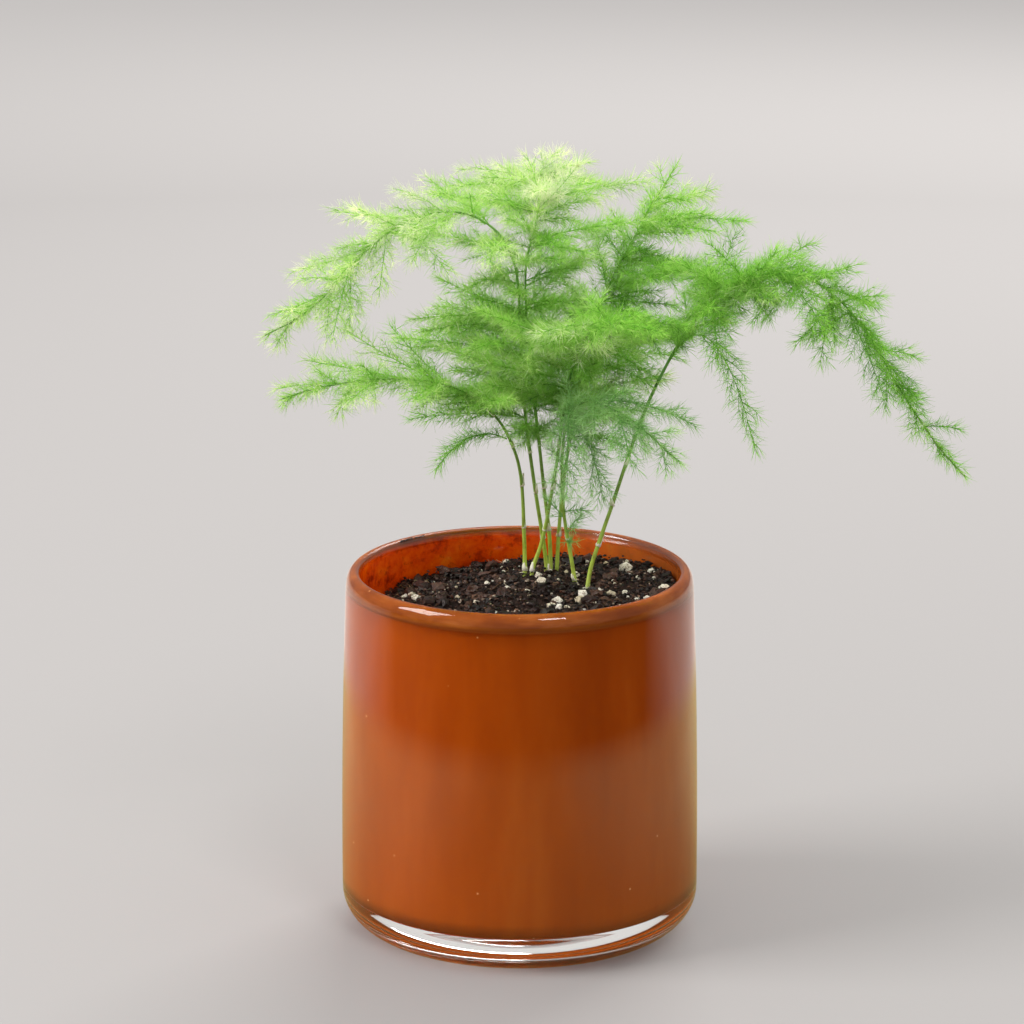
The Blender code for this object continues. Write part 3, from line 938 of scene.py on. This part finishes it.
# %% Stem finish
stem_skin, tree, shader = new_material("stem_skin", 0.42)
own = own_value(tree, "tone")
green = ramp(tree, own, (0.0, (0.62, 0.70, 0.20)), (0.1, (0.46, 0.62, 0.08)),
             (0.3, (0.22, 0.38, 0.06)), (0.6, (0.10, 0.26, 0.04)), (1.0, (0.2, 0.42, 0.08)))
flecks = noise_pattern(tree, 900, detail=3.0, stretch=(1, 1, 0.25))
marks = ramp(tree, flecks, (0.32, (0.55, 0.5, 0.45)), (0.5, (1, 1, 1)))
paint(tree, shader, blend_colours(tree, 0.8, green, marks, "MULTIPLY"))
shader.inputs["Subsurface Weight"].default_value = 0.15
shader.inputs["Subsurface Radius"].default_value = (0.3 * MM, 0.6 * MM, 0.1 * MM)
for node in STEMS:
    finished(bpy.data.objects["fern_" + node], stem_skin, [node])
print("Stem finish ready")

# %% [markdown]
# ## Papery scales
#
# At each of a young stem's nodes a dry, whitish scale clasps it. A scale is a ragged cone,
# modelled once, that slips over the stem and leans a little to one side.

# %% Scales at the nodes
def scale_template():
    """A ragged closed cone one unit long, wide at its foot."""
    start_clean()
    bpy.ops.mesh.primitive_cone_add(vertices=9, radius1=1, radius2=0.45, depth=1,
                                    location=(0, 0, 0.5))
    edit_all()
    bpy.ops.mesh.subdivide(number_cuts=1)
    bpy.ops.transform.vertex_random(offset=0.16, seed=3)
    end_edit()
    bpy.ops.object.transform_apply(location=True, rotation=True, scale=True)
    return read_template(bpy.context.object)


rng = np.random.default_rng(31)
spots = []
for node in STEMS:
    line = stem_curves[node]
    ahead, side, over = branch_frame(line)
    for reach in np.arange(6 * MM, 62 * MM, NODE_GAP):
        k = index_at(line, reach / length_of(line))
        lean = 0.22 * (rng.normal() * side[k] + rng.normal() * over[k])
        radius = stem_radii(line)[k] * rng.uniform(1.15, 1.5)
        upward = (ahead[k] + lean) * rng.uniform(1.8, 3.4) * MM
        spots.append(spots_of(side[k] * radius, over[k] * radius, upward, line[k]))
spots = np.array(spots)
fern_scales = mesh_of_copies("fern_scales", [scale_template()], spots,
                             rng.uniform(0, 1, len(spots)))
only(fern_scales)
edit_all()
end_edit(face_outward=True)
settle(fern_scales, "fern_scales")
print(fern_scales.name, len(spots), "scales,", triangles(fern_scales), "triangles")

# %% Scale finish
dry_scale, tree, shader = new_material("dry_scale", 0.7)
fibres = noise_pattern(tree, 1200, detail=4.0, stretch=(1, 1, 0.2))
paint(tree, shader, ramp(tree, fibres, (0.35, (0.52, 0.42, 0.22)), (0.45, (0.82, 0.82, 0.62)),
                         (0.7, (0.95, 0.94, 0.84))))
bump(tree, shader, fibres, 0.4, 0.1 * MM)
finished(fern_scales, dry_scale)
print("Scale finish ready")

# %% [markdown]
# ## Needles
#
# What look like leaves are cladodes: needle-like twigs an eighth of a millimetre thick and three
# to six long, in little tufts. There are a hundred thousand of them, so the needle is modelled
# once, with only five faces, and copied.

# %% Needle template
def needle_template():
    """A three-sided needle one unit long that tapers to a fine tip."""
    start_clean()
    bpy.ops.mesh.primitive_circle_add(vertices=3, radius=0.5, fill_type="NGON")
    edit_all()
    bpy.ops.mesh.extrude_region_move(TRANSFORM_OT_translate={"value": (0, 0, 1)})
    bpy.ops.transform.resize(value=(0.25, 0.25, 1), center_override=(0, 0, 1))
    end_edit(face_outward=True)
    return read_template(bpy.context.object)


NEEDLES = [needle_template()]
print("Needle", len(NEEDLES[0][0]), "points,", len(NEEDLES[0][1]), "faces")


# %% [markdown]
# ## Growing a side branch
#
# Twigs leave a branch alternately to left and right, in one flat plane that makes the fern's
# layered look. They are longest a fifth of the way out. Needles stand in tufts along every
# twig and point forward. All of this is worked out along the midline of the solid that the
# branch stands for.

# %% Twigs on a branch
NEEDLE_LENGTH = 4.9 * MM
NEEDLE_WIDTH = 0.135 * MM
TWIG_GAP = 2.0 * MM


def twig_reach(share):
    """How long twigs are at a share of the branch: quickly full, then tapering to the tip."""
    return np.clip(share / 0.22, 0.35, 1) * (1 - 0.72 * share**1.4)


def twigs_on(rng, line, width, flat):
    """Lines of the twigs along a branch."""
    total = length_of(line)
    reaches = np.arange(1.5 * MM, total - 1.0 * MM, TWIG_GAP)
    ahead, side, over = branch_frame(line)
    made = []
    for i, reach in enumerate(reaches):
        share = np.clip((reach + rng.normal(0, 0.15) * TWIG_GAP) / total, 0, 1)
        k = index_at(line, share)
        size = width * twig_reach(share) * rng.uniform(0.75, 1.15)
        angle = math.radians(rng.uniform(40, 64))
        lift = rng.normal(0, flat)
        hand = 1 if i % 2 else -1
        outward = hand * math.cos(lift) * side[k] + math.sin(lift) * over[k]
        way = math.cos(angle) * ahead[k] + math.sin(angle) * outward
        t = np.linspace(0, 1, 6)[:, None]
        bend = 0.25 * t**2 * (ahead[k] - way) - 0.07 * t**2 * UP
        made.append(line[k] + size * (t * way + bend))
    return made


def tufts_on(rng, line, gap, begin):
    """Places and headings of the tufts along a line, with the share of its length."""
    total = length_of(line)
    count = max(2, int((total - begin) / gap))
    shares = (begin + (total - begin) * np.linspace(0.04, 1.0, count)) / total
    shares = np.clip(shares + rng.normal(0, 0.1, count) * gap / total, 0, 1)
    ways = headings(evenly(line, np.linspace(0, 1, 12)))
    return evenly(line, shares), ways[np.minimum((shares * 11).astype(int), 11)], shares


def needles_on(rng, line, gap, begin, per_tuft):
    """Spots for every needle on a line, and how far out on it each stands."""
    found = tufts_on(rng, line, gap, begin)
    places, ways, shares = (np.repeat(values, per_tuft, axis=0) for values in found)
    count = len(places)
    first = unit(np.cross(ways, unit(rng.normal(0, 1, (count, 3)))))
    second = np.cross(ways, first)
    spread = np.radians(rng.uniform(34, 72, count)) * (1 - 0.5 * shares**6)
    along = unit(np.cos(spread)[:, None] * ways + np.sin(spread)[:, None] * first)
    across = unit(np.cross(along, second))
    third = np.cross(along, across)
    lengths = NEEDLE_LENGTH * rng.uniform(0.62, 1.15, count) * (1 - 0.25 * shares**4)
    spots = spots_of(across * NEEDLE_WIDTH, third * NEEDLE_WIDTH, along * lengths[:, None], places)
    return spots, shares


def leafy(rng, name, branches, tones, width=11 * MM, girth=0.22 * MM, flat=0.3, per_tuft=7):
    """Branches with their twigs and all their needles, as one mesh."""
    rows = []
    for branch, tone in zip(branches, tones):
        wide = width * min(1.0, 0.42 + length_of(branch) / (48 * MM))
        for twig in twigs_on(rng, branch, wide, flat):
            rows.append((twig, np.linspace(0.1, 0.05, len(twig)) * MM, tone, 1.0 * MM, 0.5 * MM))
        rows.append((branch, np.linspace(girth, 0.09 * MM, len(branch)), tone, 1.2 * MM, 0.0))
    lines, radii, levels, gaps, begins = zip(*rows)
    own = [np.full(len(line), 0.5 * tone) for line, tone in zip(lines, levels)]
    wood = tubes(name + "_wood", lines, radii, own, 0)
    found = [needles_on(rng, line, gap, begin, per_tuft)
             for line, gap, begin in zip(lines, gaps, begins)]
    spots = np.concatenate([spot for spot, _ in found])
    values = np.concatenate([tone + 0.28 * share for (_, share), tone in zip(found, levels)])
    values = np.clip(values + rng.normal(0, 0.1, len(values)), 0, 1)
    green = mesh_of_copies(name, NEEDLES, spots, values)
    only(wood)
    green.select_set(True)
    bpy.context.view_layer.objects.active = green
    bpy.ops.object.join()
    return settle(bpy.context.object, name)


def between(value, low, high):
    return float(np.clip((value - low) / (high - low), 0, 1))


def tone_and_painted_light(line, rng):
    """Paler high up, partly young growth and partly painted light from above; paler on the left and
    along the top, painted light from the windows; darker on the right, painted shade; and darker in
    one patch right of the middle.
    """
    x, _, z = line.mean(axis=0)
    # Painted light: paler higher up (partly young growth), on the left and along the top. Painted
    # shade: darker on the right.
    tone = 0.4 + 3.4 * (z - 0.155) + rng.normal(0, 0.09)
    tone -= 0.2 * math.exp(-((x - 0.05) ** 2 + (z - 0.192) ** 2) / 0.025**2)
    tone += 0.18 * between(-x, 0.015, 0.05) - 0.2 * between(x, 0.055, 0.10)
    tone += 0.17 * between(z, 0.199, 0.214)
    return float(np.clip(tone, 0.15, 0.85))


# %% Grow every side branch
SPRAY_POINTS = 40
spray_pieces = {}
for number, node in enumerate(SPRAYS):
    rng = np.random.default_rng(100 + number)
    branch = smooth(spray_lines[node], SPRAY_POINTS)
    per_tuft = 5 if node.startswith(("frond_1", "frond_3", "frond_7")) else 7
    spray_pieces[node] = leafy(rng, "fern_" + node, [branch], [tone_and_painted_light(branch, rng)],
                               per_tuft=per_tuft)
print(len(spray_pieces), "side branches,", sum(map(triangles, spray_pieces.values())), "triangles")

# %% [markdown]
# ## The spines
#
# The upper part of each stem is a frond's spine. Between the side branches it carries many
# shorter ones, which turn round the spine as they go up it and make the frond a soft cloud.

# %% Short branches round a spine
ALONG = np.linspace(0, 1, 14)[:, None]


def arched(foot, way, length, fall):
    """A line that sets off one way and falls more and more."""
    return foot + length * (ALONG * way - fall * ALONG**2 * UP)


def side_line(foot, turn, rise, length, fall):
    """A line that leaves a foot at a compass turn, rising by an angle and then falling."""
    turn, rise = math.radians(turn), math.radians(rise)
    way = np.array([math.cos(turn) * math.cos(rise), math.sin(turn) * math.cos(rise),
                    math.sin(rise)])
    return arched(foot, way, length, fall)


def round_spine(rng, line, start, end, gap, longest):
    """Short branches between two shares of a stem, in golden-angle turns round it."""
    ahead, side, over = branch_frame(line)
    total = length_of(line)
    reaches = np.arange(start * total, end * total, gap)
    made = []
    for i, reach in enumerate(reaches):
        share = reach / total
        k = index_at(line, share)
        turn = math.radians(137.5 * i + rng.normal(0, 12))
        outward = math.cos(turn) * side[k] + (0.7 * math.sin(turn) + 0.25) * over[k]
        angle = math.radians(rng.uniform(45, 70))
        way = unit(math.cos(angle) * ahead[k] + math.sin(angle) * outward)
        inner = (share - start) / (end - start)
        size = longest * min(1, 0.5 + inner * 2.5) * (1 - 0.6 * inner**1.6)
        size *= rng.uniform(0.75, 1.2)
        made.append(arched(line[k], way, size, rng.uniform(0.05, 0.3)))
    return made


# Each spine: where the short branches start and stop, their spacing and their longest (mm)
SPINES = {"stem_1": (0.5, 0.97, 6.0, 13), "stem_2": (0.5, 0.97, 4.4, 21),
          "stem_3": (0.6, 0.97, 4.6, 17), "stem_4": (0.66, 0.98, 4.4, 20),
          "stem_5": (0.5, 0.97, 4.4, 21), "stem_6": (0.45, 0.96, 5.0, 14),
          "stem_7": (0.42, 0.96, 5.2, 18)}
# Longer ones on the inner stems fill the middle of the plant: the stem, where they start and
# stop, how many there are, the compass turn they favour and how far they turn from it, the
# shortest and longest (mm), and the least and most rise
INNER = [
    ("stem_2", 0.38, 0.52, 8, 235, 150, 22, 30, 14, 40),
    ("stem_3", 0.28, 0.46, 15, 220, 150, 22, 34, 10, 30),
    ("stem_4", 0.30, 0.60, 17, 270, 150, 22, 34, 14, 36),
    ("stem_3", 0.28, 0.45, 9, 185, 40, 27, 41, 2, 24),
    ("stem_4", 0.50, 0.70, 13, 266, 75, 17, 26, 2, 34),
    ("stem_4", 0.68, 0.95, 9, 300, 120, 18, 27, 5, 32),
    ("stem_5", 0.36, 0.58, 12, 310, 150, 22, 32, 10, 36),
    ("stem_5", 0.56, 0.90, 15, 350, 70, 20, 34, -8, 24),
    ("stem_6", 0.16, 0.42, 8, 255, 70, 6, 10, 20, 60),
    ("stem_7", 0.41, 0.56, 12, 100, 150, 16, 26, 10, 55),
    ("stem_7", 0.47, 0.58, 13, 250, 120, 9, 17, -10, 45),
    ("stem_7", 0.58, 0.74, 6, 200, 60, 12, 20, -65, -25),
]
spine_pieces = {}
for number, node in enumerate(STEMS):
    rng = np.random.default_rng(500 + number)
    spine = stem_curves[node]
    start, end, gap, longest = SPINES[node]
    branches = round_spine(rng, spine, start, end, gap * MM, longest * MM)
    branches.append(spine[int(start * len(spine)):])
    tones = [tone_and_painted_light(branch, rng) for branch in branches]
    spine_pieces[node] = leafy(rng, "fern_spine_" + node[-1], branches, tones, 9.5 * MM,
                               0.18 * MM, 0.5)
print(len(spine_pieces), "spines,", sum(map(triangles, spine_pieces.values())), "triangles")

# %% Fill the middle
inner_pieces = []
for number, row in enumerate(INNER):
    node, low, high, count, favoured, swing, shortest, longest, flattest, steepest = row
    rng = np.random.default_rng(700 + number)
    spine = stem_curves[node]
    branches = []
    for i in range(count):
        share = low + (high - low) * (i + rng.uniform(0, 0.8)) / count
        turn = favoured + swing * math.sin(2.4 * i) + rng.normal(0, 12)
        foot = spine[index_at(spine, share)]
        length = rng.uniform(shortest, longest) * MM
        rise = rng.uniform(flattest, steepest)
        branches.append(side_line(foot, turn, rise, length, rng.uniform(0.08, 0.28)))
    tones = [tone_and_painted_light(branch, rng) for branch in branches]
    inner_pieces.append(leafy(rng, f"fern_inner_{number + 1}", branches, tones, 9.5 * MM,
                              0.18 * MM, 0.5))
print(len(inner_pieces), "inner pieces,", sum(map(triangles, inner_pieces)), "triangles,",
      "largest", max(map(triangles, [*inner_pieces, *spine_pieces.values()])))

# %% Young tips with a star of needles
# The stem and share each tip grows from, its end (mm), and its tone
YOUNG_TIPS = [("stem_4", 0.65, (5.1, 20, 206.3), 0.8), ("stem_2", 0.62, (24.9, -25, 179.4), 0.72),
              ("stem_4", 0.76, (16.3, 20, 219.5), 0.95)]
STAR_NEEDLES = 34
STAR_WIDTH = 0.17 * MM
rng = np.random.default_rng(900)
tip_lines, star_spots = [], []
for node, share, end, tone in YOUNG_TIPS:
    foot = stem_curves[node][index_at(stem_curves[node], share)]
    end = np.array(end) * MM
    tip_lines.append(foot + (end - foot) * ALONG - 3 * MM * (ALONG - ALONG**2) * UP)
    ways = unit(rng.normal(0, 1, (STAR_NEEDLES, 3)) + 0.5 * unit(end - foot))
    side = unit(np.cross(ways, unit(rng.normal(0, 1, (STAR_NEEDLES, 3)))))
    along = ways * rng.uniform(4.5, 7.5, STAR_NEEDLES)[:, None] * MM
    star_spots.append(spots_of(side * STAR_WIDTH, np.cross(ways, side) * STAR_WIDTH, along, end))
tip_tones = [row[3] for row in YOUNG_TIPS]
fern_young = leafy(rng, "fern_young", tip_lines, tip_tones, 8 * MM, 0.18 * MM, 0.5)
star_spots = np.concatenate(star_spots)
fern_stars = mesh_of_copies("fern_stars", NEEDLES, star_spots,
                            np.repeat(tip_tones, STAR_NEEDLES))
settle(fern_stars, "fern_stars")
print("Young tips,", triangles(fern_young) + triangles(fern_stars), "triangles")

# %% Needle finish
def needle_finish(name, *stops):
    """Thin green skin that glows when lit from behind, and lets two thirds of the light by."""
    finish, tree, shader = new_material(name, 0.45)
    green = ramp(tree, own_value(tree, "tone"), *stops)
    patches = noise_pattern(tree, 90, detail=2.0)
    shade = ramp(tree, patches, (0.3, (0.84, 0.88, 0.8)), (0.7, (1.15, 1.1, 1.0)))
    leaf_colour = blend_colours(tree, 1.0, green, shade, "MULTIPLY")
    paint(tree, shader, leaf_colour)
    glow = add_node(tree, "ShaderNodeBsdfTranslucent")
    tree.links.new(leaf_colour, glow.inputs["Color"])
    thin = add_node(tree, "ShaderNodeMixShader")
    thin.inputs["Fac"].default_value = 0.45
    tree.links.new(shader.outputs["BSDF"], thin.inputs[1])
    tree.links.new(glow.outputs["BSDF"], thin.inputs[2])
    lit_through(tree, thin.outputs["Shader"], 0.66)
    return finish


# The palest stops serve young growth and the light painted into the foliage's tone.
needle_green = needle_finish(
    "needle_green", (0.0, (0.10, 0.29, 0.03)), (0.3, (0.235, 0.56, 0.065)),
    (0.6, (0.43, 0.77, 0.14)), (0.82, (0.62, 0.84, 0.31)), (1.0, (0.90, 0.95, 0.76)))
needle_blue = needle_finish(
    "needle_blue", (0.0, (0.13, 0.32, 0.08)), (0.3, (0.28, 0.56, 0.17)),
    (0.6, (0.47, 0.75, 0.31)), (0.82, (0.66, 0.86, 0.50)), (1.0, (0.88, 0.94, 0.80)))
for node, piece in spray_pieces.items():
    finished(piece, needle_blue if node.startswith("frond_6") else needle_green, [node])
for node, piece in spine_pieces.items():
    finished(piece, needle_blue if node == "stem_6" else needle_green)
for row, piece in zip(INNER, inner_pieces):
    finished(piece, needle_blue if row[0] == "stem_6" else needle_green)
finished(fern_young, needle_green)
finished(fern_stars, needle_green)
print("Needle finish ready")

# %% [markdown]
# ## Floor and light
#
# A plain pale floor runs back and out of sight; seen directly it is painted paler farther from the
# pot, painted light that makes up for the lamps' light falling off. The light is a bright room with
# large soft windows to the left and behind, which make young growth glow. Glass mirrors its
# surroundings, so the floor carries a painted reflection for mirrored rays: a warm patch of table
# near the pot, and a little way off a room, dark in front of the pot and pale behind. That painted
# reflection keeps the amber deep, and gives its wall the two shades of a pot on a table.

# %% Floor
def mirror_ray(tree):
    """1 for a ray that a shiny surface reflected, and 0 for one that went through glass."""
    ray = add_node(tree, "ShaderNodeLightPath")
    return arithmetic(tree, "SUBTRACT", ray.outputs["Is Glossy Ray"],
                      ray.outputs["Is Transmission Ray"], clamp=True)


FLOOR_SIDE = 16  # metres
start_clean()
bpy.ops.mesh.primitive_plane_add(size=1, location=(0, 0, 0))
floor = bpy.context.object
floor.name = "floor"
edit_all()
bpy.ops.transform.resize(value=(FLOOR_SIDE, FLOOR_SIDE, 1), center_override=(0, 0, 0))
end_edit()
floor_paint, tree, shader = new_material("floor_paint", 0.6, 0.2)
# Painted reflection: mirrored rays see a warm patch of table near the pot, and past it a room, dark
# in front and pale behind.
away = away_from_axis(tree)
edge = share_between(tree, away, 0.25, 0.30)
behind = share_between(tree, place_along(tree, "Y"), -0.05, 0.12)
room = blend_colours(tree, behind, (0.015, 0.011, 0.008), (0.56, 0.51, 0.47))
aside = arithmetic(tree, "ABSOLUTE", place_along(tree, "X"))
beside = share_between(tree, aside, 0.07, 0.17)
painted_reflected_table = blend_colours(tree, beside, (0.31, 0.25, 0.10), (0.55, 0.50, 0.27))
painted_reflection = blend_colours(tree, edge, painted_reflected_table, room)
# Painted light: seen directly, the floor is painted paler farther from the pot, making up for the
# lamps' light falling off there.
far = share_between(tree, away, 1.2, 3.2)
plain = blend_colours(tree, far, (0.366, 0.352, 0.348), (0.80, 0.775, 0.765))
pale = blend_colours(tree, mirror_ray(tree), plain, painted_reflection)
paint(tree, shader, pale)
floor.data.materials.append(floor_paint)
floor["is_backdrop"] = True


# %% Light
def soft_light(name, place, aim, width, height, power, colour=(1, 1, 1)):
    data = bpy.data.lights.new(name, "AREA")
    data.shape = "RECTANGLE"
    data.size = width
    data.size_y = height
    data.energy = power
    data.color = colour
    made = bpy.data.objects.new(name, data)
    bpy.context.scene.collection.objects.link(made)
    made.location = place
    made.rotation_euler = (Vector(aim) - Vector(place)).to_track_quat("-Z", "Y").to_euler()
    return made


soft_light("window_left", (-1.3, -0.3, 1.2), (0, 0, 0.12), 0.8, 0.9, 24, (1, 0.99, 0.97))
window_back = soft_light("window_back", (0.5, 1.4, 1.2), (0, 0, 0.16), 1.2, 0.6, 26,
                         (1, 0.99, 0.97))
window_back.visible_glossy = False  # its mirror image would draw a white line along the rim
soft_light("window_front", (0.6, -1.2, 1.7), (0, 0, 0.1), 0.5, 0.4, 9)
world = bpy.data.worlds.new("room")
world.use_nodes = True
sky = world.node_tree.nodes["Background"]
dim = world.node_tree.nodes.new("ShaderNodeMapRange")
dim.inputs["To Min"].default_value = 0.85
dim.inputs["To Max"].default_value = 0.32
world.node_tree.links.new(mirror_ray(world.node_tree), dim.inputs["Value"])
world.node_tree.links.new(dim.outputs["Result"], sky.inputs["Strength"])
sky.inputs["Color"].default_value = (0.90, 0.89, 0.88, 1)
bpy.context.scene.world = world
print("Lights ready")

# %% [markdown]
# ## Sizes, and the end
#
# The finished model's box, leaving out the floor, is worked out and printed.

# %% Print the model's box
low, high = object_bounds()
print("Visual", [round(v, 4) for v in (*low, *high)])
